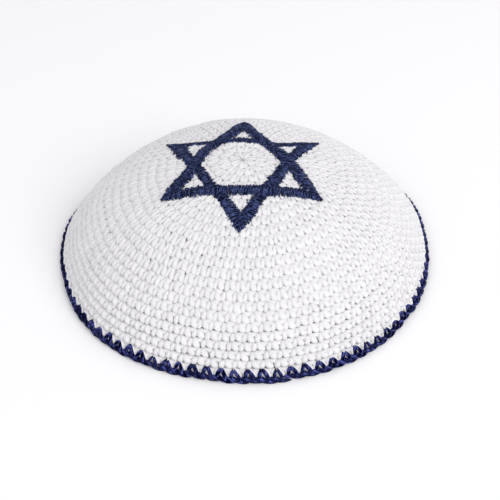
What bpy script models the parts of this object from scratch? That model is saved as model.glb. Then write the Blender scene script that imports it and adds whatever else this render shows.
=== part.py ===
"""A round crocheted skullcap: a domed crown of thick cotton yarn, a toothed edging
crocheted round its rim, and a six-pointed star embroidered over its centre.

Every piece is first shaped flat, like cloth on a table: X and Y lie in the cloth, and Z is
the lift over its outer face. on_cap() then says where each point lies on the dome.

Metres, +Z up. The origin is the centre of the plane that the rim rests on, and the wearer's
forehead is towards -Y.
"""

import math
from collections import namedtuple

import bmesh
import bpy
from mathutils import Matrix

# The dome, measured along the cloth from the centre of the crown to the rim
CLOTH_REACH = 0.106
CLOTH_THICK = 0.003
PROFILE_STEP = 0.0005

# The cloth's slope below level is a sum of powers of the share of the way to the rim
SlopeTerm = namedtuple("SlopeTerm", "power degrees")
SLOPE_TERMS = (SlopeTerm(1, 54.5), SlopeTerm(3, 35.7), SlopeTerm(5, -26.7))

# A crocheted rim isn't a true circle. Angles are in degrees anticlockwise from +X: where
# each bulge or dent is, and how far from there it fades.
Bulge = namedtuple("Bulge", "towards depth fade")
RIM_BULGES = (
    Bulge(-163, -0.0006, 11),
    Bulge(-104, -0.0018, 19),
    Bulge(-48, 0.0006, 19),
    Bulge(21, 0.0026, 14),
    Bulge(163, 0.0021, 16),
)

# How far pieces that touch stay apart
GAP = 0.0003

# The crown ends short of the rim, where the edging takes over
CROWN_REACH = 0.1034
CROWN_RINGS = 13
CROWN_COLUMNS = 64

# The edging has one tooth for each stitch of the crown's last round
TEETH = 88
TOOTH_TIP_REACH = 0.0999
TOOTH_ROOT_REACH = 0.1031
TOOTH_THICK = 0.0009
CORD_BULGE = 0.0008

# The star, measured along the cloth
STAR_REACH = 0.0405
STAR_BAR = 0.0056
STAR_THICK = 0.0008
STAR_TURN = -2
STAR_FORWARD = 0.0012
STAR_CUTS = 17
TRIANGLE_DIRECTIONS = (90, -90)

# Points closer than this are one point
WELD = 1e-6

# Colours are linear
Look = namedtuple("Look", "colour roughness")
WHITE_COTTON = Look((0.86, 0.855, 0.865, 1), 0.9)
NAVY_YARN = Look((0.018, 0.022, 0.115, 1), 0.8)
NAVY_THREAD = Look((0.014, 0.024, 0.10, 1), 0.5)


def dome_profile():
    """(radius, drop) for every PROFILE_STEP of cloth, from the centre to past the rim."""
    radius, drop = 0.0, 0.0
    rows = [(radius, drop)]
    for step in range(int(1.1 * CLOTH_REACH / PROFILE_STEP)):
        share = (step + 0.5) * PROFILE_STEP / CLOTH_REACH
        slope = math.radians(sum(t.degrees * share**t.power for t in SLOPE_TERMS))
        radius += math.cos(slope) * PROFILE_STEP
        drop += math.sin(slope) * PROFILE_STEP
        rows.append((radius, drop))
    return rows


PROFILE = dome_profile()
RIM_RADIUS, DOME_HEIGHT = PROFILE[round(CLOTH_REACH / PROFILE_STEP)]


def rim_bulge(turn):
    """How far the rim stands out from a true circle in the direction turn."""
    total = 0.0
    for bulge in RIM_BULGES:
        away = math.degrees(math.remainder(turn - math.radians(bulge.towards), math.tau))
        total += bulge.depth * math.exp(-((away / bulge.fade) ** 2))
    return total


def on_cap(x, y, lift):
    """Where a point of the flat cloth lies on the cap. What would reach below the rim's
    plane is flattened on it, as yarn is under the cap's weight."""
    reach = math.hypot(x, y)
    turn = math.atan2(y, x)
    row = min(int(reach / PROFILE_STEP), len(PROFILE) - 2)
    (radius, drop), (next_radius, next_drop) = PROFILE[row], PROFILE[row + 1]
    outwards = (next_radius - radius) / PROFILE_STEP
    downwards = (next_drop - drop) / PROFILE_STEP
    rest = reach - row * PROFILE_STEP
    radius += outwards * rest + downwards * lift
    height = DOME_HEIGHT - drop - downwards * rest + outwards * lift
    radius += rim_bulge(turn) * (radius / RIM_RADIUS) ** 2
    return radius * math.cos(turn), radius * math.sin(turn), max(height, 0.0)


def lay_on_cap(bm):
    for vert in bm.verts:
        vert.co = on_cap(*vert.co)


def spun(outline, closed, columns):
    """The outline, points of (reach, lift), turned once round the centre of the crown."""
    bm = bmesh.new()
    verts = [bm.verts.new((reach, 0, lift)) for reach, lift in outline]
    ends = verts[1:] + verts[:1] if closed else verts[1:]
    edges = [bm.edges.new(pair) for pair in zip(verts, ends)]
    bmesh.ops.spin(
        bm,
        geom=verts + edges,
        cent=(0, 0, 0),
        axis=(0, 0, 1),
        angle=math.tau,
        steps=columns,
        use_merge=True,
    )
    bmesh.ops.remove_doubles(bm, verts=bm.verts, dist=WELD)
    bmesh.ops.recalc_face_normals(bm, faces=bm.faces)
    return bm


def crown():
    """The white crocheted dome, a wall open at the rim."""
    reaches = [CROWN_REACH * ring / CROWN_RINGS for ring in range(CROWN_RINGS + 1)]
    outer = [(reach, 0) for reach in reaches]
    inner = [(reach, -CLOTH_THICK) for reach in reversed(reaches)]
    bm = spun(outer + inner, False, CROWN_COLUMNS)
    lay_on_cap(bm)
    return bm


def edging():
    """The navy round: a cord under the crown's edge, with teeth that reach up its outside."""
    cord_top = CROWN_REACH + GAP
    outline = [
        (TOOTH_TIP_REACH, GAP + TOOTH_THICK),
        (TOOTH_TIP_REACH, GAP),
        (cord_top, GAP),
        (cord_top, -CLOTH_THICK),
        (CLOTH_REACH, -CLOTH_THICK),
        (CLOTH_REACH, 0),
        ((cord_top + CLOTH_REACH) / 2, CORD_BULGE),
        (CROWN_REACH, GAP + TOOTH_THICK),
    ]
    bm = spun(outline, True, 2 * TEETH)
    for vert in bm.verts:
        reach = math.hypot(vert.co.x, vert.co.y)
        column = round(math.atan2(vert.co.y, vert.co.x) / math.tau * 2 * TEETH)
        if column % 2 and reach < TOOTH_TIP_REACH + WELD:
            vert.co.xy *= TOOTH_ROOT_REACH / reach
    lay_on_cap(bm)
    return bm


def triangle_frame(direction):
    """A flat triangle of three mitred bars, with one tip towards direction, in degrees."""
    bm = bmesh.new()
    for radius in (STAR_REACH, STAR_REACH - 2 * STAR_BAR):
        bmesh.ops.create_circle(bm, segments=3, radius=radius)
    sides = list(bm.edges)
    bmesh.ops.bridge_loops(bm, edges=sides)
    bmesh.ops.subdivide_edges(bm, edges=sides, cuts=STAR_CUTS)
    tip = max(bm.verts, key=lambda v: v.co.length).co
    turn = math.radians(direction + STAR_TURN) - math.atan2(tip.y, tip.x)
    bmesh.ops.rotate(bm, verts=bm.verts, cent=(0, 0, 0), matrix=Matrix.Rotation(turn, 3, "Z"))
    bmesh.ops.translate(bm, verts=bm.verts, vec=(0, -STAR_FORWARD, GAP + STAR_THICK / 2))
    mesh = bpy.data.meshes.new("triangle")
    bm.to_mesh(mesh)
    bm.free()
    triangle = bpy.data.objects.new("triangle", mesh)
    helpers.objects.link(triangle)
    thicken = triangle.modifiers.new("thicken", "SOLIDIFY")
    thicken.thickness = STAR_THICK
    thicken.offset = 0
    return triangle


def star():
    """Two crossing triangles of satin stitch, which are one piece where they cross."""
    upright, inverted = [triangle_frame(direction) for direction in TRIANGLE_DIRECTIONS]
    join = upright.modifiers.new("join", "BOOLEAN")
    join.operation = "UNION"
    join.object = inverted
    graph = bpy.context.evaluated_depsgraph_get()
    flat = bpy.data.meshes.new_from_object(upright.evaluated_get(graph))
    bm = bmesh.new()
    bm.from_mesh(flat)
    bmesh.ops.remove_doubles(bm, verts=bm.verts, dist=WELD)
    bmesh.ops.triangulate(bm, faces=bm.faces)
    for triangle in (upright, inverted):
        bpy.data.objects.remove(triangle)
    bpy.data.meshes.remove(flat)
    lay_on_cap(bm)
    return bm


def material(name, look):
    made = bpy.data.materials.new(name)
    made.use_nodes = True
    shader = made.node_tree.nodes["Principled BSDF"]
    shader.inputs["Base Color"].default_value = look.colour
    shader.inputs["Roughness"].default_value = look.roughness
    shader.inputs["Metallic"].default_value = 0.0
    made.diffuse_color = look.colour
    return made


def add_piece(name, bm, look_material):
    mesh = bpy.data.meshes.new(name)
    bm.to_mesh(mesh)
    bm.free()
    mesh.materials.append(look_material)
    mesh.shade_smooth()
    mesh.set_sharp_from_angle(angle=math.radians(40))
    skullcap.objects.link(bpy.data.objects.new(name, mesh))


for leftover in list(bpy.data.objects):
    bpy.data.objects.remove(leftover)
skullcap = bpy.data.collections.new("skullcap")
helpers = bpy.data.collections.new("helpers")
for collection in (skullcap, helpers):
    bpy.context.scene.collection.children.link(collection)

add_piece("crown", crown(), material("white_cotton", WHITE_COTTON))
add_piece("edging", edging(), material("navy_yarn", NAVY_YARN))
add_piece("star_embroidery", star(), material("navy_thread", NAVY_THREAD))
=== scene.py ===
# %% [markdown]
# # A crocheted skullcap
#
# This notebook builds the look of a round skullcap, called a kippah. A maker starts at the
# centre of the crown with a small ring of thick white cotton yarn, and crochets round after
# round until the cloth reaches the rim. One round of navy yarn then edges it, and a
# six-pointed star is embroidered over the crown in navy thread.
#
# The cap is already there as three plain solids, which the frame holds at their true size.
# We replace them with real stitches. One idea does nearly all the work: each stitch is made
# once, repeated by Geometry Nodes on a flat chart, and the chart is then laid on the dome.

# %% Load the frame
import math
from collections import namedtuple

import bmesh
import bpy
import numpy as np
from mathutils import Matrix, Vector


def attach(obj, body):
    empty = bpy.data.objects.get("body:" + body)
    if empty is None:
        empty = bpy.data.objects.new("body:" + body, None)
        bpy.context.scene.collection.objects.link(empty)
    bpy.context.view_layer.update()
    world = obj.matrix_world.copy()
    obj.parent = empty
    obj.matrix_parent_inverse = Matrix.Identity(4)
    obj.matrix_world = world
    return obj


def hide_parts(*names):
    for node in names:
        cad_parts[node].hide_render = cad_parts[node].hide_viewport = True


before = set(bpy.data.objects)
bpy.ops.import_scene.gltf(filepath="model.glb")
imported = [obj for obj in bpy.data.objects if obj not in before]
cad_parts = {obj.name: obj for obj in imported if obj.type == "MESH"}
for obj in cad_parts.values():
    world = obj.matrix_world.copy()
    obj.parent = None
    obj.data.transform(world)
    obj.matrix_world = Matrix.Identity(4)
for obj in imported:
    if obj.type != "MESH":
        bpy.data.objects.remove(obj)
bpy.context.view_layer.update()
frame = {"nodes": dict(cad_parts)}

MM = 0.001
print("solids:", ", ".join(frame["nodes"]))

# %% [markdown]
# ## The camera
#
# The picture we match is a product shot: a long lens, a little above the cap, looking down
# on its front. The camera's height, distance and lens came from fitting the dome's outline.
# The camera is also rolled by a degree and a half, as if held slightly askew. We aim it at
# the origin, which is the centre of the rim, and shift the frame a hair to the side.

# %% Place the camera
CAMERA_ELEVATION = math.radians(40.76)
CAMERA_DISTANCE = 0.510
CAMERA_ROLL = math.radians(-1.44)
SENSOR = 36
LENS = 78.6
SIDE_SHIFT = 0.011
NEAREST_SEEN = 0.01

scene = bpy.context.scene
towards_camera = Vector((0, -math.cos(CAMERA_ELEVATION), math.sin(CAMERA_ELEVATION)))
aim = towards_camera.to_track_quat("Z", "Y").to_matrix().to_4x4()
camera = bpy.data.objects.new("camera", bpy.data.cameras.new("camera"))
camera.matrix_world = (
    Matrix.Translation(towards_camera * CAMERA_DISTANCE) @ aim @ Matrix.Rotation(CAMERA_ROLL, 4, "Z")
)
camera.data.sensor_width = SENSOR
camera.data.lens = LENS
camera.data.shift_x = SIDE_SHIFT
camera.data.clip_start = NEAREST_SEEN
scene.collection.objects.link(camera)
scene.camera = camera
print("camera at", [round(c, 3) for c in camera.matrix_world.translation])

# %% [markdown]
# ## One helper for every node tree
#
# Materials and Geometry Nodes are both made of nodes, and building them in a script means
# writing "make a node, set this input, link that one" many times. This helper does all three:
# an input is given either a plain value or another node's output.

# %% Node helper
def node(tree, kind, inputs=(), **settings):
    """Add a node. inputs maps an input's name or number to a value or to an output."""
    made = tree.nodes.new(kind)
    for name, value in settings.items():
        setattr(made, name, value)
    for key, value in dict(inputs).items():
        if isinstance(value, bpy.types.NodeSocket):
            tree.links.new(value, made.inputs[key])
        else:
            made.inputs[key].default_value = value
    return made


def math_node(tree, operation, *values):
    return node(tree, "ShaderNodeMath", enumerate(values), operation=operation).outputs[0]


# %% [markdown]
# ## Light and floor
#
# The shot is high-key: white cloth on white, with only soft shade. A big area light to the
# right and in front is the key light, so the left of the crown turns slightly grey. A weaker
# one from the left and a white world fill the shade, and a pale floor bounces light up under
# the rim. The Standard view transform keeps white cotton white. A picture of a real studio,
# wrapped round the scene, would light it too, but two lamps are easier to read and to move.

# %% Studio
Lamp = namedtuple("Lamp", "name place size watts colour")
LAMPS = (
    Lamp("key", (0.75, -0.75, 0.85), 0.9, 7.6, (1.0, 0.99, 0.975)),
    Lamp("fill", (-0.9, -0.7, 0.8), 1.2, 1.4, (0.98, 0.97, 1.0)),
)
WORLD_WHITE = (0.95, 0.94, 0.97, 1)
WORLD_STRENGTH = 0.80
FLOOR_SIZE = 6
FLOOR_WHITE = (0.98, 0.98, 0.98, 1)
FLOOR_BELOW = 0.2 * MM
PAPER_ROUGHNESS = 0.9

scene.view_settings.view_transform = "Standard"
world = bpy.data.worlds.new("studio")
world.use_nodes = True
world.node_tree.nodes["Background"].inputs["Color"].default_value = WORLD_WHITE
world.node_tree.nodes["Background"].inputs["Strength"].default_value = WORLD_STRENGTH
scene.world = world

for lamp in LAMPS:
    light = bpy.data.lights.new(lamp.name, "AREA")
    light.shape = "DISK"
    light.size = lamp.size
    light.energy = lamp.watts
    light.color = lamp.colour
    holder = bpy.data.objects.new(lamp.name, light)
    place = Vector(lamp.place)
    holder.matrix_world = Matrix.Translation(place) @ place.to_track_quat("Z", "Y").to_matrix().to_4x4()
    scene.collection.objects.link(holder)
print("lamps:", ", ".join(f"{lamp.name} {lamp.watts} W" for lamp in LAMPS))

bpy.ops.mesh.primitive_plane_add(size=FLOOR_SIZE, location=(0, 0, -FLOOR_BELOW))
floor = bpy.context.object
floor.name = "floor"
paper = bpy.data.materials.new("white_paper")
paper.use_nodes = True
paper.node_tree.nodes["Principled BSDF"].inputs["Base Color"].default_value = FLOOR_WHITE
paper.node_tree.nodes["Principled BSDF"].inputs["Roughness"].default_value = PAPER_ROUGHNESS
floor.data.materials.append(paper)

# %% [markdown]
# ## The dome as a law
#
# Crocheted cloth is not a piece of a sphere. It starts level at the centre, curves most about
# two thirds of the way down, and runs nearly straight into the rim. The simplest way to
# describe that is the way a hand would feel it: walk along the cloth from the centre to the
# rim, and say how steeply it slopes at each step. Adding up the steps gives the radius and
# the height.
#
# The rim is not a true circle either. A short table says where it bulges or is pushed in.

# %% The dome's law
CLOTH_REACH = 106 * MM
STEP = 0.25 * MM
NEAREST_CENTRE = 0.02 * MM
# The law goes on past the rim, for the yarn that hangs below it
LAW_LENGTH = 1.1

# The slope in degrees is a sum of powers of the share of the way to the rim
SlopeTerm = namedtuple("SlopeTerm", "power degrees")
SLOPE_TERMS = (SlopeTerm(1, 54.5), SlopeTerm(3, 35.7), SlopeTerm(5, -26.7))

# Where the rim bulges or is dented, in degrees from +X, and how far from there it fades
Bulge = namedtuple("Bulge", "towards depth fade")
RIM_BULGES = (
    Bulge(-163, -0.6 * MM, 11),
    Bulge(-104, -1.8 * MM, 19),
    Bulge(-48, 0.6 * MM, 19),
    Bulge(21, 2.6 * MM, 14),
    Bulge(163, 2.1 * MM, 16),
)

walked = (np.arange(int(LAW_LENGTH * CLOTH_REACH / STEP)) + 0.5) * STEP / CLOTH_REACH
slope = np.radians(sum(term.degrees * walked**term.power for term in SLOPE_TERMS))
law_reach = np.arange(len(walked) + 1) * STEP
law_radius = np.concatenate([[0], np.cumsum(np.cos(slope) * STEP)])
law_drop = np.concatenate([[0], np.cumsum(np.sin(slope) * STEP)])
law_slope = np.concatenate([[0], slope])
RIM_RADIUS = np.interp(CLOTH_REACH, law_reach, law_radius)
DOME_HEIGHT = np.interp(CLOTH_REACH, law_reach, law_drop)
print(f"the dome is {RIM_RADIUS / MM:.1f} mm in radius and {DOME_HEIGHT / MM:.1f} mm high")

# %% [markdown]
# The next function is the heart of the notebook. It takes points that are given the way a
# maker would give them: how far round the cap, how far along the cloth from the centre, and
# how high over the cloth. It returns their place in space. Yarn that would sink through the
# table is pressed flat on it.

# %% Lay points on the cap
def on_cap(turn, reach, lift):
    reach = np.maximum(reach, NEAREST_CENTRE)
    tilt = np.interp(reach, law_reach, law_slope)
    radius = np.interp(reach, law_reach, law_radius) + np.sin(tilt) * lift
    height = DOME_HEIGHT - np.interp(reach, law_reach, law_drop) + np.cos(tilt) * lift
    bulge = np.zeros_like(turn)
    for dent in RIM_BULGES:
        away = (np.degrees(turn) - dent.towards + 180) % 360 - 180
        bulge += dent.depth * np.exp(-((away / dent.fade) ** 2))
    radius = radius + bulge * (radius / RIM_RADIUS) ** 2
    return np.stack([radius * np.cos(turn), radius * np.sin(turn), np.maximum(height, 0)], axis=1)


half_way = on_cap(np.zeros(1), np.full(1, CLOTH_REACH / 2), np.zeros(1))[0]
print(f"half-way along the cloth the dome is {half_way[2] / MM:.1f} mm above the table")

# %% [markdown]
# There are two kinds of pattern to lay on the cap. A chart has the rounds as straight rows,
# one over the other, and suits the stitches. Flat cloth seen from above suits the star.

# %% Lay charts and cloth on the cap
def places(mesh):
    flat = np.empty(len(mesh.vertices) * 3)
    mesh.vertices.foreach_get("co", flat)
    return flat.reshape(-1, 3)


def lay_chart(mesh, twist=((0, 0),)):
    """The mesh is a chart: X is the turn in radians, Y is towards the centre, Z is the lift.
    twist says how far the cloth is turned at some reaches, which makes its columns lean."""
    turn, inwards, lift = places(mesh).T
    turned = np.interp(-inwards, *zip(*twist))
    mesh.vertices.foreach_set("co", on_cap(turn + turned, -inwards, lift).ravel())
    mesh.update()


def lay_cloth(mesh):
    """The mesh is flat cloth seen from above: X and Y are in it, and Z is the lift."""
    x, y, lift = places(mesh).T
    mesh.vertices.foreach_set("co", on_cap(np.arctan2(y, x), np.hypot(x, y), lift).ravel())
    mesh.update()


# %% [markdown]
# ## A strand of yarn
#
# Every stitch is made of short plump strands that dive under their neighbours at both ends.
# A strand is a tube round a smooth path, as wide as it likes in the middle and closed to a
# point at the ends. Because each one is repeated hundreds of times, it has only a few dozen
# faces, and smooth shading rounds them off. Its UV map runs along the strand and round it, so
# that the material can twist the plies and lay the fibres the right way. A curve object with
# a bevel and a taper could make such a tube. Building its rings ourselves also gives us the
# closed ends and the UV map.

# %% Smooth path
def smooth_path(points, count):
    """count places on a soft curve through the points (a Catmull-Rom spline)."""
    points = np.array(points, float)
    padded = np.vstack([2 * points[0] - points[1], points, 2 * points[-1] - points[-2]])
    made = []
    for place in np.linspace(0, len(points) - 1, count):
        start = min(int(place), len(points) - 2)
        a, b, c, d = padded[start : start + 4]
        t = place - start
        square = (2 * a - 5 * b + 4 * c - d) * t**2
        cube = (3 * b - a - 3 * c + d) * t**3
        made.append(0.5 * (2 * b + (c - a) * t + square + cube))
    return np.array(made)


# %% [markdown]
# The tube itself is rings of points round the path, and each end closes in a single point.
# How blunt an end is decides whether the strand dives in gently or stops like a plug.

# %% Strand helper
def add_strand(bm, points, width, thickness, sides=8, rings=6, ends=(2.4, 2.4)):
    """Add a closed strand. ends says how blunt its two ends are: 1 is a spike, 4 is a plug."""
    uv_layer = bm.loops.layers.uv.verify()
    path = smooth_path(points, rings + 2)
    along = np.linspace(-1, 1, rings + 2)
    tangents = np.gradient(path, axis=0)
    grid = []
    for ring in range(1, rings + 1):
        forward = Vector(tangents[ring]).normalized()
        side = forward.cross(Vector((0, 0, 1))).normalized()
        up = side.cross(forward)
        bluntness = ends[1] if along[ring] > 0 else ends[0]
        size = (1 - abs(along[ring]) ** bluntness) ** 0.5
        row = []
        for corner in range(sides):
            angle = math.tau * corner / sides
            offset = side * math.cos(angle) * width / 2 + up * math.sin(angle) * thickness / 2
            row.append(bm.verts.new(Vector(path[ring]) + offset * size))
        grid.append(row)
    first, last = bm.verts.new(path[0]), bm.verts.new(path[-1])

    def face(corners):
        made = bm.faces.new([vert for vert, _ in corners])
        made.smooth = True
        for loop, (_, uv) in zip(made.loops, corners):
            loop[uv_layer].uv = uv

    for corner in range(sides):
        after = (corner + 1) % sides
        u, u_after = corner / sides, (corner + 1) / sides
        middle, step = (u + u_after) / 2, 1 / (rings + 1)
        face([(first, (middle, 0)), (grid[0][corner], (u, step)), (grid[0][after], (u_after, step))])
        for ring in range(rings - 1):
            v, v_after = (ring + 1) * step, (ring + 2) * step
            face(
                [
                    (grid[ring][after], (u_after, v)),
                    (grid[ring][corner], (u, v)),
                    (grid[ring + 1][corner], (u, v_after)),
                    (grid[ring + 1][after], (u_after, v_after)),
                ]
            )
        face(
            [
                (last, (middle, 1)),
                (grid[-1][after], (u_after, 1 - step)),
                (grid[-1][corner], (u, 1 - step)),
            ]
        )


def shape(name, strands, kit):
    """One repeatable shape, an object in the collection kit, from a list of strands."""
    bm = bmesh.new()
    for strand in strands:
        add_strand(bm, **strand)
    bmesh.ops.recalc_face_normals(bm, faces=bm.faces)
    mesh = bpy.data.meshes.new(name)
    bm.to_mesh(mesh)
    bm.free()
    made = bpy.data.objects.new(name, mesh)
    kit.objects.link(made)
    return made


# %% [markdown]
# ## The tree that repeats a stitch
#
# Geometry Nodes take a cloud of points, one for each stitch, and put a stitch on every one.
# Each point carries how much to stretch the stitch (`cell`), how far to turn it (`lean`) and
# how light its yarn is (`shade`). No two hand-made stitches are alike, so the tree picks
# one of several shapes at random and makes it a little longer or fatter, from a fixed seed.
# A loop in the script could place the copies one by one. The tree does a whole piece at
# once, and keeps everything random in one place.

HIGHEST_DRAW = 60


def named(tree, name, kind):
    reader = node(tree, "GeometryNodeInputNamedAttribute", {"Name": name}, data_type=kind)
    return reader.outputs["Attribute"]


def repeating_tree():
    tree = bpy.data.node_groups.new("repeat_stitches", "GeometryNodeTree")
    tree.is_modifier = True
    for name, kind in (
        ("Points", "Geometry"),
        ("Shapes", "Collection"),
        ("Material", "Material"),
        ("Unevenness", "Float"),
        ("Seed", "Int"),
    ):
        tree.interface.new_socket(name, in_out="INPUT", socket_type=f"NodeSocket{kind}")
    tree.interface.new_socket("Stitches", in_out="OUTPUT", socket_type="NodeSocketGeometry")
    given = node(tree, "NodeGroupInput").outputs
    shapes = node(
        tree,
        "GeometryNodeCollectionInfo",
        {"Collection": given["Shapes"], "Separate Children": True, "Reset Children": True},
    )
    choice = node(
        tree, "FunctionNodeRandomValue", {"Seed": given["Seed"], 4: 0, 5: HIGHEST_DRAW}, data_type="INT"
    )
    spread = node(
        tree,
        "FunctionNodeRandomValue",
        {"Seed": given["Seed"], 0: (-1, -1, -1), 1: (1, 1, 1)},
        data_type="FLOAT_VECTOR",
    )
    stretch = node(
        tree,
        "ShaderNodeVectorMath",
        {0: spread.outputs[0], 1: given["Unevenness"], 2: (1, 1, 1)},
        operation="MULTIPLY_ADD",
    )
    size = node(
        tree,
        "ShaderNodeVectorMath",
        {0: named(tree, "cell", "FLOAT_VECTOR"), 1: stretch.outputs[0]},
        operation="MULTIPLY",
    )
    turned = node(tree, "ShaderNodeCombineXYZ", {"Z": named(tree, "lean", "FLOAT")})
    copies = node(
        tree,
        "GeometryNodeInstanceOnPoints",
        {
            "Points": given["Points"],
            "Instance": shapes.outputs[0],
            "Pick Instance": True,
            "Instance Index": choice.outputs[2],
            "Rotation": turned.outputs[0],
            "Scale": size.outputs[0],
        },
    )
    real = node(tree, "GeometryNodeRealizeInstances", {0: copies.outputs[0]})
    dyed = node(
        tree, "GeometryNodeSetMaterial", {"Geometry": real.outputs[0], "Material": given["Material"]}
    )
    node(tree, "NodeGroupOutput", {"Stitches": dyed.outputs[0]})
    return tree


REPEAT = repeating_tree()
print("the repeating tree has", len(REPEAT.nodes), "nodes")

# %% [markdown]
# To use a tree, we hang it on a mesh for a moment, give it its inputs, and keep the plain mesh
# that comes out. The points for it are a mesh with no faces, one point for each stitch.

# %% Run a tree
def input_id(tree, name):
    """A modifier's inputs are set by their sockets' identifiers, which this looks up."""
    sockets = (item for item in tree.interface.items_tree if item.in_out == "INPUT")
    return next(socket.identifier for socket in sockets if socket.name == name)


def bake(name, mesh, tree, **inputs):
    """Run a tree over a mesh, and return what it makes as a plain mesh."""
    source = bpy.data.objects.new(name, mesh)
    scene.collection.objects.link(source)
    modifier = source.modifiers.new("nodes", "NODES")
    modifier.node_group = tree
    for key, value in inputs.items():
        modifier[input_id(tree, key)] = value
    graph = bpy.context.evaluated_depsgraph_get()
    made = bpy.data.meshes.new_from_object(
        source.evaluated_get(graph), preserve_all_data_layers=True, depsgraph=graph
    )
    bpy.data.objects.remove(source)
    made.name = name
    return made


def point_cloud(name, points, cell, lean, shade):
    """A mesh of loose points, one for each stitch, with what the tree reads on them."""
    mesh = bpy.data.meshes.new(name)
    mesh.from_pydata(np.asarray(points).tolist(), [], [])
    mesh.attributes.new("cell", "FLOAT_VECTOR", "POINT").data.foreach_set("vector", np.ravel(cell))
    mesh.attributes.new("lean", "FLOAT", "POINT").data.foreach_set("value", np.ravel(lean))
    mesh.attributes.new("shade", "FLOAT", "POINT").data.foreach_set("value", np.ravel(shade))
    return mesh


# %% [markdown]
# ## A hand's uneven tension
#
# Even after that, rounds laid by a formula look machine-made. A second tree nudges every
# point of the finished piece by a soft noise, a few tenths of a millimetre, over distances
# of a few stitches: the cloth is a little looser here and tighter there. Moving each stitch
# on its own would open gaps. A slow noise moves neighbours together, as yarn does.

# %% Tension tree
TENSION_AMOUNT = 1.5 * MM
TENSION_WAVES = 70.0


def tension_tree():
    tree = bpy.data.node_groups.new("hand_tension", "GeometryNodeTree")
    tree.is_modifier = True
    for name, kind in (
        ("Piece", "Geometry"),
        ("Material", "Material"),
        ("Amount", "Float"),
        ("Waves per metre", "Float"),
    ):
        tree.interface.new_socket(name, in_out="INPUT", socket_type=f"NodeSocket{kind}")
    tree.interface.new_socket("Piece", in_out="OUTPUT", socket_type="NodeSocketGeometry")
    given = node(tree, "NodeGroupInput").outputs
    where = node(tree, "GeometryNodeInputPosition").outputs[0]
    noise = node(
        tree, "ShaderNodeTexNoise", {"Vector": where, "Scale": given["Waves per metre"], "Detail": 2.0}
    )
    centred = node(
        tree, "ShaderNodeVectorMath", {0: noise.outputs["Color"], 1: (0.5, 0.5, 0.5)}, operation="SUBTRACT"
    )
    push = node(
        tree, "ShaderNodeVectorMath", {0: centred.outputs[0], "Scale": given["Amount"]}, operation="SCALE"
    )
    moved = node(
        tree, "GeometryNodeSetPosition", {"Geometry": given["Piece"], "Offset": push.outputs[0]}
    )
    real = node(tree, "GeometryNodeRealizeInstances", {0: moved.outputs[0]})
    dyed = node(
        tree, "GeometryNodeSetMaterial", {"Geometry": real.outputs[0], "Material": given["Material"]}
    )
    node(tree, "NodeGroupOutput", {"Piece": dyed.outputs[0]})
    return tree


TENSION = tension_tree()
print("the tension tree has", len(TENSION.nodes), "nodes")

# %% [markdown]
# Every finished piece then goes the same way. It gets its uneven tension and its material, what sank
# through the table is pressed flat on it, it is hung from the frame's root, and the plain solid it
# replaces is hidden.

# %% Hand a piece to the frame
def add_piece(name, mesh, material, slot_name, *nodes):
    mesh = bake(
        name,
        mesh,
        TENSION,
        Material=material,
        Amount=TENSION_AMOUNT,
        **{"Waves per metre": TENSION_WAVES},
    )
    where = places(mesh)
    where[:, 2] = np.maximum(where[:, 2], 0)
    mesh.vertices.foreach_set("co", where.ravel())
    mesh.update()
    piece = bpy.data.objects.new(name, mesh)
    scene.collection.objects.link(piece)
    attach(piece, "root")
    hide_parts(*nodes)
    mesh.calc_loop_triangles()
    print(f"{name}: {len(mesh.loop_triangles)} triangles")
    return piece


# %% [markdown]
# ## Yarn materials
#
# Cotton yarn is a few plies twisted together. Seen close, the plies are soft slanted ridges,
# and fine fibres run along them. Both could be real geometry, at many times the number of
# faces, or a picture of yarn, which repeats and blurs. We draw them by bump on the strand's
# own UV map, so they follow every bend and stay sharp. Each stitch is also a shade lighter
# or darker than the next, and mottled along its length.

# %% Yarn material
FIBRE_SCALE = 9.0
FIBRE_HEIGHT = 1.2
BLOTCH_EDGES = (0.36, 0.64)
FUZZ_ROUGHNESS = 0.5


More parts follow.
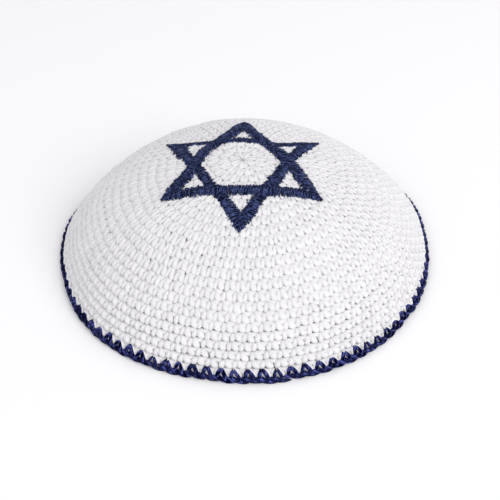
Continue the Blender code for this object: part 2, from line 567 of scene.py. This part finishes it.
def yarn_material(
    name,
    dark,
    light,
    roughness,
    sheen,
    gloss,
    plies,
    twist,
    bump_depth,
    contrast=1.0,
    mottle=0.5,
    blotch_scale=3.0,
):
    """plies and twist shape the ridges. mottle is how much of the tone comes from blotches
    along the strand and not from the stitch's own shade."""
    made = bpy.data.materials.new(name)
    made.use_nodes = True
    tree = made.node_tree
    shader = tree.nodes["Principled BSDF"]
    uv = node(tree, "ShaderNodeUVMap").outputs["UV"]
    parts = node(tree, "ShaderNodeSeparateXYZ", {0: uv}).outputs
    shade = node(tree, "ShaderNodeAttribute", attribute_name="shade").outputs["Fac"]

    across = math_node(tree, "MULTIPLY", parts["X"], plies)
    slanted = math_node(tree, "MULTIPLY_ADD", parts["Y"], twist, across)
    ridge = math_node(tree, "SINE", math_node(tree, "MULTIPLY", slanted, math.tau))
    stretched = node(tree, "ShaderNodeCombineXYZ", {"X": slanted, "Y": parts["Y"], "Z": shade}).outputs[0]
    fibres = node(
        tree,
        "ShaderNodeTexNoise",
        {"Vector": stretched, "Scale": FIBRE_SCALE, "Detail": 3.0, "Roughness": 0.6},
    ).outputs[0]
    height = math_node(tree, "MULTIPLY_ADD", fibres, FIBRE_HEIGHT, ridge)
    bump = node(tree, "ShaderNodeBump", {"Height": height, "Strength": 1.0, "Distance": bump_depth})

    # On the navy yarn and thread the light end of these blotches is painted glints; on white cotton they
    # are the yarn's own uneven tone.
    blotches = node(
        tree, "ShaderNodeTexNoise", {"Vector": stretched, "Scale": blotch_scale, "Detail": 1.0}
    ).outputs[0]
    mottled = node(
        tree, "ShaderNodeMapRange", {0: blotches, 1: BLOTCH_EDGES[0], 2: BLOTCH_EDGES[1]}
    ).outputs[0]
    tone = math_node(tree, "MULTIPLY_ADD", mottled, mottle, math_node(tree, "MULTIPLY", shade, 1 - mottle))
    tone = math_node(tree, "POWER", tone, contrast)
    colour = node(tree, "ShaderNodeMix", {0: tone}, data_type="RGBA")
    colour.inputs[6].default_value = dark
    colour.inputs[7].default_value = light
    tree.links.new(colour.outputs[2], shader.inputs["Base Color"])
    tree.links.new(bump.outputs[0], shader.inputs["Normal"])
    shader.inputs["Roughness"].default_value = roughness
    shader.inputs["Sheen Weight"].default_value = sheen
    shader.inputs["Sheen Roughness"].default_value = FUZZ_ROUGHNESS
    shader.inputs["Specular IOR Level"].default_value = gloss
    return made


# %% [markdown]
# Bleached cotton is matt and nearly even in colour. Two soft plies show in it, and a little
# sheen stands for the fuzz that catches light at the edges.

# %% White cotton
white_cotton = yarn_material(
    "white_cotton",
    dark=(0.78, 0.775, 0.785, 1),
    light=(0.87, 0.865, 0.87, 1),
    roughness=0.95,
    sheen=0.1,
    gloss=0.2,
    plies=2,
    twist=1.5,
    bump_depth=0.13 * MM,
)
print("white cotton is made of", len(white_cotton.node_tree.nodes), "nodes")

# %% [markdown]
# ## One white stitch
#
# A single crochet stitch shows two legs on the outside of the cap. Both come out of one hole
# in the round before and part on their way to the rim, so that a notch opens between their
# lower ends. The left leg stands nearly upright. The right leg slants, which is what gives
# this cloth its grain. Below the legs lies the chain loop, which runs from one of the next
# round's holes to the one beside it, and on the inside of the cap each stitch shows one
# short bar.
#
# The loop comes in two kinds. A snug one closes the cloth over most of the crown. A thinner
# one that hangs lower is for the last rounds, where small dark slits show between the
# stitches.
#
# The whole path of the yarn could be one long curve, led as the hook leads it. Most of that
# is hidden inside the cloth, so we make only the parts that show, and let each one dive out
# of sight at both ends. The table gives each strand's path in millimetres: across the stitch,
# towards the centre of the crown, and lift over the cloth.

# %% White stitch shapes
STITCH_WIDTH = 5.0 * MM
STITCH_HEIGHT = 4.0 * MM

Strand = namedtuple("Strand", "name path width thickness sides rings ends")
WHITE_STITCH = (
    Strand("left_leg", ((0.1, 0.0, -3.0), (0.05, -0.6, -1.6), (0.0, -1.4, -0.8), (-0.1, -2.5, -0.7),
                        (-0.3, -3.45, -1.0), (-0.4, -4.0, -2.0)), 2.15, 1.9, 7, 6, (3.0, 2.0)),
    Strand("right_leg", ((0.8, 0.0, -3.0), (1.1, -0.6, -1.6), (1.7, -1.4, -0.8), (2.4, -2.5, -0.7),
                         (2.95, -3.35, -1.0), (3.15, -3.95, -2.0)), 2.8, 2.0, 8, 6, (3.2, 2.0)),
    Strand("inner_bar", ((-1.8, -1.9, -2.1), (0.2, -2.0, -1.6), (2.4, -2.0, -1.6), (4.6, -2.1, -2.1)),
           3.2, 1.9, 6, 4, (3.0, 3.0)),
)
SNUG_LOOP = Strand("chain_loop", ((-0.9, -4.25, -2.6), (0.3, -4.4, -1.6), (1.7, -4.6, -1.15),
                                  (2.9, -4.6, -1.5), (3.6, -4.35, -2.5)), 2.7, 1.7, 7, 5, (2.4, 2.4))
LOOSE_LOOP = Strand("chain_loop", ((-0.9, -4.2, -2.6), (0.3, -4.5, -1.6), (1.8, -4.9, -1.2),
                                   (2.9, -4.75, -1.5), (3.6, -4.35, -2.5)), 2.3, 1.7, 7, 5, (2.4, 2.4))

# %% [markdown]
# Every copy is moved by a tenth or two of a millimetre, leaned by a few degrees, and made a
# little thicker or thinner.

# %% Kits of stitches
Hand = namedtuple("Hand", "across upwards lean size")
WHITE_HANDS = (
    Hand(0.0, 0.0, 0, 1.0),
    Hand(0.08, -0.1, 2, 1.04),
    Hand(-0.08, 0.1, -2, 0.97),
    Hand(0.05, 0.15, 3, 0.99),
    Hand(-0.05, -0.15, -1, 1.05),
)


def stitch_kit(name, strands, hands, across_unit=MM):
    """A collection of hand-varied copies of one stitch. across_unit is 1 for a thread whose
    path gives X as a share of its length."""
    kit = bpy.data.collections.new(name)
    for number, hand in enumerate(hands):
        cos, sin = math.cos(math.radians(hand.lean)), math.sin(math.radians(hand.lean))
        moved = [
            dict(
                points=[
                    (
                        (x * cos - y * sin + hand.across) * across_unit,
                        (x * sin + y * cos + hand.upwards) * MM,
                        z * MM,
                    )
                    for x, y, z in strand.path
                ],
                width=strand.width * hand.size * MM,
                thickness=strand.thickness * hand.size * MM,
                sides=strand.sides,
                rings=strand.rings,
                ends=strand.ends,
            )
            for strand in strands
        ]
        shape(f"{name}_{number}", moved, kit)
    return kit


snug_kit = stitch_kit("snug_white_stitch", (*WHITE_STITCH, SNUG_LOOP), WHITE_HANDS)
loose_kit = stitch_kit("loose_white_stitch", (*WHITE_STITCH, LOOSE_LOOP), WHITE_HANDS)

# %% [markdown]
# ## The rounds of the crown
#
# The first round has seven stitches, and each round has seven more than the one before, which
# keeps a crocheted disc nearly flat. After ten rounds the maker adds four a round, and none
# once a round has 88, so the cloth turns down over the head. The last rounds are also worked
# tighter, so that the rim doesn't flare.
#
# Each new stitch sits a quarter of its width to one side of the one it is worked into, and
# near the centre the cloth is twisted a little more, so the columns spiral. The first rounds
# are flat and full. Towards the rim the stitches get slimmer and the grooves between them
# deeper, until the edging holds the last round down. One endless spiral would be truer to the
# hook, but closed rounds look the same and are easier to plan.

# %% Plan the rounds
ROUNDS = 23
RING_REACH = 0.5 * MM
ADDED = 7
EASED_FROM, ADDED_LATER = 10, 4
MOST_STITCHES = 88
ROUND_HEIGHTS = ((1, 5.8 * MM), (2, 4.7 * MM), (14, 4.7 * MM), (17, 4.15 * MM), (22, 3.75 * MM))
ROUND_RELIEF = ((1, 0.35), (8, 0.45), (13, 0.7), (18, 1.0), (21, 1.4), (22, 1.4), (23, 0.8))
ROUND_PLUMPNESS = ((1, 1.2), (8, 1.17), (13, 1.14), (17, 1.12), (20, 1.03))
COLUMN_SLIP = -0.26
ROUND_TWISTS = ((1, -0.3), (8, -0.2), (13, -0.05), (18, 0.0))
HAND_SEED = 7
chance = np.random.default_rng(HAND_SEED)


def stitches_in(round_number):
    eased = ADDED * EASED_FROM + ADDED_LATER * (round_number - EASED_FROM)
    return min(ADDED * round_number, eased, MOST_STITCHES)


def crown_points():
    """Rows of (round, turn, reach, width in radians, height), one for each white stitch."""
    rows, start, reach = [], 0.0, RING_REACH
    twist = [(0.0, 0.0), (reach, 0.0)]
    for round_number in range(1, ROUNDS + 1):
        height = np.interp(round_number, *zip(*ROUND_HEIGHTS))
        width = math.tau / stitches_in(round_number)
        start += COLUMN_SLIP * width
        for stitch in range(stitches_in(round_number)):
            rows.append((round_number, start + stitch * width, reach, width, height))
        reach += height
        twist.append((reach, twist[-1][1] + width * np.interp(round_number, *zip(*ROUND_TWISTS))))
    print(f"the last round ends {reach / MM:.1f} mm from the centre")
    return np.array(rows), twist


rows, crown_twist = crown_points()
print(len(rows), "white stitches in", ROUNDS, "rounds")

# %% [markdown]
# The plan is now worked in three pieces, from the centre to the rim. The tree puts a stitch on
# every point of the flat chart, and only then is the chart laid on the dome, so each stitch
# bends with the cloth and none is merely set on it.

# %% Work the white rounds
PIECE_ROUNDS = (
    ("crown_top", 1, 12, snug_kit),
    ("crown_middle", 13, 17, snug_kit),
    ("crown_lower", 18, ROUNDS, loose_kit),
)
for name, first_round, last_round, kit in PIECE_ROUNDS:
    part = rows[(rows[:, 0] >= first_round) & (rows[:, 0] <= last_round)]
    count = len(part)
    relief = np.interp(part[:, 0], *zip(*ROUND_RELIEF))
    plumpness = np.interp(part[:, 0], *zip(*ROUND_PLUMPNESS))
    cloud = point_cloud(
        name,
        np.stack([part[:, 1], -part[:, 2], np.zeros(count)], axis=1),
        np.stack([part[:, 3] / STITCH_WIDTH * plumpness, part[:, 4] / STITCH_HEIGHT, relief], axis=1),
        np.zeros(count),
        chance.random(count),
    )
    stitches = bake(name, cloud, REPEAT, Shapes=kit, Material=white_cotton, Unevenness=0.05, Seed=3)
    lay_chart(stitches, crown_twist)
    add_piece(name, stitches, white_cotton, "white_cotton", "crown")

# %% [markdown]
# ## The navy edging
#
# The last round is worked in navy yarn, into the white one above it. From outside each
# edging stitch shows a small arch that grips the white edge, often with a speck of white
# inside it, and below the arches the tops of the stitches lie along the rim as a thick cord.
# The arch is two legs, the left one upright and the right one slanting, which dive into the
# white side by side. The cord is long strands that overlap like the plies of a rope, with one
# more ply on the inside. A plain twisted cord would be quicker to make, but the arches are
# what gives this rim its small teeth.
#
# The round isn't pulled equally tight everywhere. A table says how tall its stitches are in
# each direction: they are lower at the two sides, and where they are lower the whole round
# sits a little nearer to the rim.

# %% Edging shapes
EDGING_WIDTH = 6.0 * MM
EDGING_REACH = 104.0 * MM
EDGING_DROP = 1.8 * MM
# How tall the stitches are in each direction, in degrees from +X, as a share of full height
EDGING_SNUG = (
    (-90, 0.9),
    (-60, 0.9),
    (-35, 0.85),
    (-10, 0.7),
    (5, 0.5),
    (90, 0.8),
    (178, 0.5),
    (195, 0.7),
    (225, 0.88),
)
EDGING_STITCH = (
    Strand("left_leg", ((0.0, 4.5, -2.0), (-0.4, 3.8, -0.6), (-0.85, 2.6, 0.1), (-1.0, 1.3, 0.2),
                        (-1.0, -0.3, -0.4)), 1.7, 1.7, 8, 6, (3.0, 3.0)),
    Strand("right_leg", ((0.3, 4.5, -2.0), (0.8, 3.8, -0.6), (1.5, 2.6, 0.1), (2.15, 1.3, 0.2),
                         (2.9, -0.3, -0.4)), 1.8, 1.8, 8, 6, (3.0, 3.0)),
    Strand("upper_ply", ((-4.0, 0.6, -1.2), (-2.0, 0.5, -0.5), (0.0, 0.1, -0.2), (2.0, -0.4, -0.5),
                         (4.0, -0.9, -1.2)), 2.2, 2.4, 8, 7, (2.2, 2.2)),
    Strand("lower_ply", ((-1.0, -0.7, -1.5), (1.0, -0.85, -1.0), (3.0, -1.05, -0.7), (5.0, -1.3, -1.0),
                         (7.0, -1.5, -1.5)), 2.2, 2.4, 8, 7, (2.2, 2.2)),
    Strand("inner_ply", ((-3.8, 0.0, -2.6), (-1.0, -0.4, -2.1), (1.0, -0.6, -2.1), (3.8, -1.2, -2.6)),
           2.2, 1.8, 6, 5, (2.4, 2.4)),
)
EDGING_HANDS = (
    Hand(0.0, 0.0, 0, 1.0),
    Hand(0.2, 0.25, 3, 1.06),
    Hand(-0.2, -0.25, -3, 0.95),
    Hand(0.1, 0.1, -4, 1.1),
)
edging_kit = stitch_kit("edging_stitch", EDGING_STITCH, EDGING_HANDS)

# %% [markdown]
# The navy yarn runs from nearly black to a clear blue in soft blotches along each strand. The clear blue
# blotches are painted glints, as of plies catching the light, scattered at random. The round has as many
# stitches as the last white one.

# %% Work the edging
navy_yarn = yarn_material(
    "navy_yarn",
    dark=(0.0002, 0.0006, 0.02, 1),
    # light is the colour of the painted glints, laid in random blotches and sharpened by contrast
    light=(0.1, 0.12, 0.42, 1),
    roughness=0.4,
    sheen=0.0,
    gloss=0.03,
    contrast=3.4,
    mottle=0.9,
    blotch_scale=2.2,
    plies=3,
    twist=2.5,
    bump_depth=0.1 * MM,
)
count = MOST_STITCHES
spread = np.arange(count) * math.tau / count
towards, snug = np.array(EDGING_SNUG).T
snug = np.interp(np.degrees(spread), towards, snug, period=360)
cloud = point_cloud(
    "edging_round",
    np.stack([spread, -EDGING_REACH - (1 - snug) * EDGING_DROP, np.zeros(count)], axis=1),
    np.stack([np.full(count, math.tau / count / EDGING_WIDTH), snug, np.ones(count)], axis=1),
    np.zeros(count),
    chance.random(count),
)
edging_stitches = bake(
    "edging_round", cloud, REPEAT, Shapes=edging_kit, Material=navy_yarn, Unevenness=0.06, Seed=5
)
lay_chart(edging_stitches)
add_piece("edging_round", edging_stitches, navy_yarn, "navy_yarn", "edging")

# %% [markdown]
# ## The star
#
# The six-pointed star is two triangles of satin stitch, one over the other. A satin bar is a
# row of threads laid side by side across it, each going down through the cloth at both ends.
# Because the ends land between the crochet stitches, the edges are spiky and never quite
# straight. It is sewn by eye, so no two bars are the same: one table gives the star's six
# tips, and another gives, for each bar, places along its outer edge and its width there.
# Towards a tip the threads get shorter, as two bars share the corner between them. Every
# thread strays a little in place, length and slant. The short ones slide less and vary less
# in length, which keeps the tips sharp. A flat navy shape with a bumpy finish would be
# simpler, but its edges would be clean and it would have no threads to catch the light.

# %% Star tables
# Where each tip is on the flat cloth, in millimetres, and how fast the threads grow longer
# away from it
Tip = namedtuple("Tip", "x y growth")
STAR_TIPS = {
    "back": Tip(1.6, 36.3, 0.85),
    "front": Tip(-2.0, -42.0, 0.85),
    "back_left": Tip(-35.2, 23.4, 0.55),
    "back_right": Tip(35.4, 21.4, 0.5),
    "front_left": Tip(-35.5, -18.9, 0.75),
    "front_right": Tip(34.0, -22.0, 0.62),
}

# For each bar: the tips it joins, its lift over the cloth, and places on its outer edge with
# the width there, in millimetres
Stop = namedtuple("Stop", "x y width")
Bar = namedtuple("Bar", "start end lift stops")
STAR_BARS = (
    Bar("back_right", "back_left", 0.3, (
        Stop(27, 17.4, 2.0), Stop(20, 14.2, 1.9), Stop(13.5, 13.0, 2.2), Stop(7, 16.0, 3.4),
        Stop(0, 17.0, 3.7), Stop(-12, 16.2, 2.4), Stop(-20, 17.2, 1.7), Stop(-28, 19.6, 2.2))),
    Bar("back_left", "front", 0.3, (
        Stop(-32, 16.3, 5.6), Stop(-29.5, 10, 5.8), Stop(-26.5, 4, 5.4), Stop(-23.5, -2.5, 4.9),
        Stop(-20.5, -8, 4.6), Stop(-17, -15, 4.7), Stop(-13, -21.5, 4.8), Stop(-10, -26.5, 4.9),
        Stop(-6, -35, 5.6))),
    Bar("front", "back_right", 0.3, (
        Stop(2.2, -37, 5.8), Stop(5.5, -31.5, 5.4), Stop(8.8, -25.5, 5.2), Stop(12.5, -20.5, 5.6),
        Stop(16.2, -15.3, 5.8), Stop(18.8, -10, 5.4), Stop(21.5, -3.5, 5.0), Stop(24.5, 3, 4.4),
        Stop(28, 8.5, 4.6), Stop(31.5, 14.6, 5.0))),
    Bar("back", "front_left", 0.7, (
        Stop(-2.2, 32, 5.8), Stop(-5.8, 26, 5.8), Stop(-10, 19.7, 5.4), Stop(-14, 14.8, 5.0),
        Stop(-17.5, 10.5, 4.6), Stop(-20.8, 4.5, 4.6), Stop(-24.2, -1.7, 5.2), Stop(-27, -6, 5.8),
        Stop(-30.5, -10.2, 6.0), Stop(-33.5, -14.5, 5.5))),
    Bar("front_left", "front_right", 0.7, (
        Stop(-28, -20.2, 4.6), Stop(-20, -20.8, 4.6), Stop(-12, -21.8, 4.8), Stop(-5, -22.5, 4.8),
        Stop(5, -22.5, 4.8), Stop(15, -22.7, 4.9), Stop(23, -22.5, 4.7))),
    Bar("front_right", "back", 0.7, (
        Stop(31.2, -15.5, 6.0), Stop(28.6, -10, 6.0), Stop(26, -4.8, 5.6), Stop(23.2, -0.5, 5.5),
        Stop(20.6, 4.2, 5.7), Stop(17.4, 8.4, 5.6), Stop(13.2, 13, 5.1), Stop(10, 18.4, 4.8),
        Stop(8.2, 22.3, 4.8), Stop(5.9, 28, 5.2), Stop(4.2, 33, 5.4))),
)
print("the star has", len(STAR_TIPS), "tips and", len(STAR_BARS), "bars")

# %% [markdown]
# A needle comes up at a bar's inner edge, crosses it and goes down at the outer edge, a third
# of a millimetre further on each time. Each thread is one flat arch that dives into the cloth
# at both ends, and its ends reach a little past the bar's edges.

# %% Star threads
THREAD_PITCH = 0.33 * MM
OVERHANG = 0.35 * MM
PATH_STEPS = 300

# One thread, with X as a share of its length and the rest in millimetres
THREAD = Strand(
    "thread",
    ((-0.5, 0, -1.4), (-0.45, 0, -0.2), (-0.27, 0, 0.2), (0.27, 0, 0.2), (0.45, 0, -0.2), (0.5, 0, -1.4)),
    0.62, 0.45, 6, 5, (4.0, 4.0),
)


def thread_rows(bar):
    """Rows of (x, y, lift, lean, length) for the threads of one bar, all on flat cloth."""
    start, end = STAR_TIPS[bar.start], STAR_TIPS[bar.end]
    first, last = Stop(start.x, start.y, bar.stops[0].width), Stop(end.x, end.y, bar.stops[-1].width)
    edge = smooth_path((first, *bar.stops, last), PATH_STEPS) * MM
    walked = np.concatenate([[0], np.cumsum(np.hypot(*np.diff(edge[:, :2], axis=0).T))])
    stands = np.arange(0, walked[-1], THREAD_PITCH)
    x, y, width = (np.interp(stands, walked, column) for column in edge.T)
    inwards = np.arctan2(np.gradient(y), np.gradient(x)) + math.pi / 2
    room = np.minimum(stands * start.growth, (walked[-1] - stands) * end.growth)
    overhang = OVERHANG * np.minimum(1, room / width)
    length = np.minimum(width, room) + 2 * overhang
    reach = length / 2 - overhang
    lift = np.full(len(stands), bar.lift * MM)
    x, y = x + np.cos(inwards) * reach, y + np.sin(inwards) * reach
    return np.stack([x, y, lift, inwards, length], axis=1)


# %% [markdown]
# The bars of the second triangle lie a little higher, as they were sewn over the first. Each
# bar is worked on flat cloth and laid on the dome when it is done, like the rounds.

# %% Sew the star
LENGTH_SPREAD = (-1.0 * MM, 0.4 * MM)
SLIDE = 0.3 * MM
FULL_LENGTH = 4 * MM
WANDER = np.array((0.13, 0.13, 0.05)) * MM
THREAD_HEIGHTS = (0.9, 1.1)
THREAD_SLANT, SLANT_SPREAD = 0.12, 0.1

star_kit = stitch_kit("star_thread", (THREAD,), (Hand(0.0, 0.0, 0, 1.0),), across_unit=1)
# The thread has two fine plies with a tight twist, so it is smoother than the yarn. Its light blotches and
# lighter threads are painted glints, specks of light on the threads.
navy_thread = yarn_material(
    "navy_thread",
    dark=(0.0003, 0.001, 0.014, 1),
    light=(0.14, 0.19, 0.46, 1),
    roughness=0.4,
    sheen=0.0,
    gloss=0.03,
    contrast=3.5,
    mottle=0.75,
    plies=2,
    twist=4,
    bump_depth=0.03 * MM,
)
for bar in STAR_BARS:
    name = f"star_bar_{bar.start}_to_{bar.end}"
    threads = thread_rows(bar)
    count = len(threads)
    threads[:, :3] += chance.normal(0, 1, (count, 3)) * WANDER
    freedom = np.minimum(1, threads[:, 4] / FULL_LENGTH)
    slide = freedom * chance.normal(0, SLIDE, count)
    threads[:, 0] += np.cos(threads[:, 3]) * slide
    threads[:, 1] += np.sin(threads[:, 3]) * slide
    length = threads[:, 4] + freedom * chance.uniform(*LENGTH_SPREAD, count)
    cloud = point_cloud(
        name,
        threads[:, :3],
        np.stack([length, np.ones(count), chance.uniform(*THREAD_HEIGHTS, count)], axis=1),
        threads[:, 3] + chance.normal(THREAD_SLANT, SLANT_SPREAD, count),
        chance.random(count),
    )
    laid = bake(name, cloud, REPEAT, Shapes=star_kit, Material=navy_thread, Unevenness=0.0, Seed=9)
    lay_cloth(laid)
    print(f"{name}: {count} threads")
    add_piece(name, laid, navy_thread, "navy_thread", "star_embroidery")
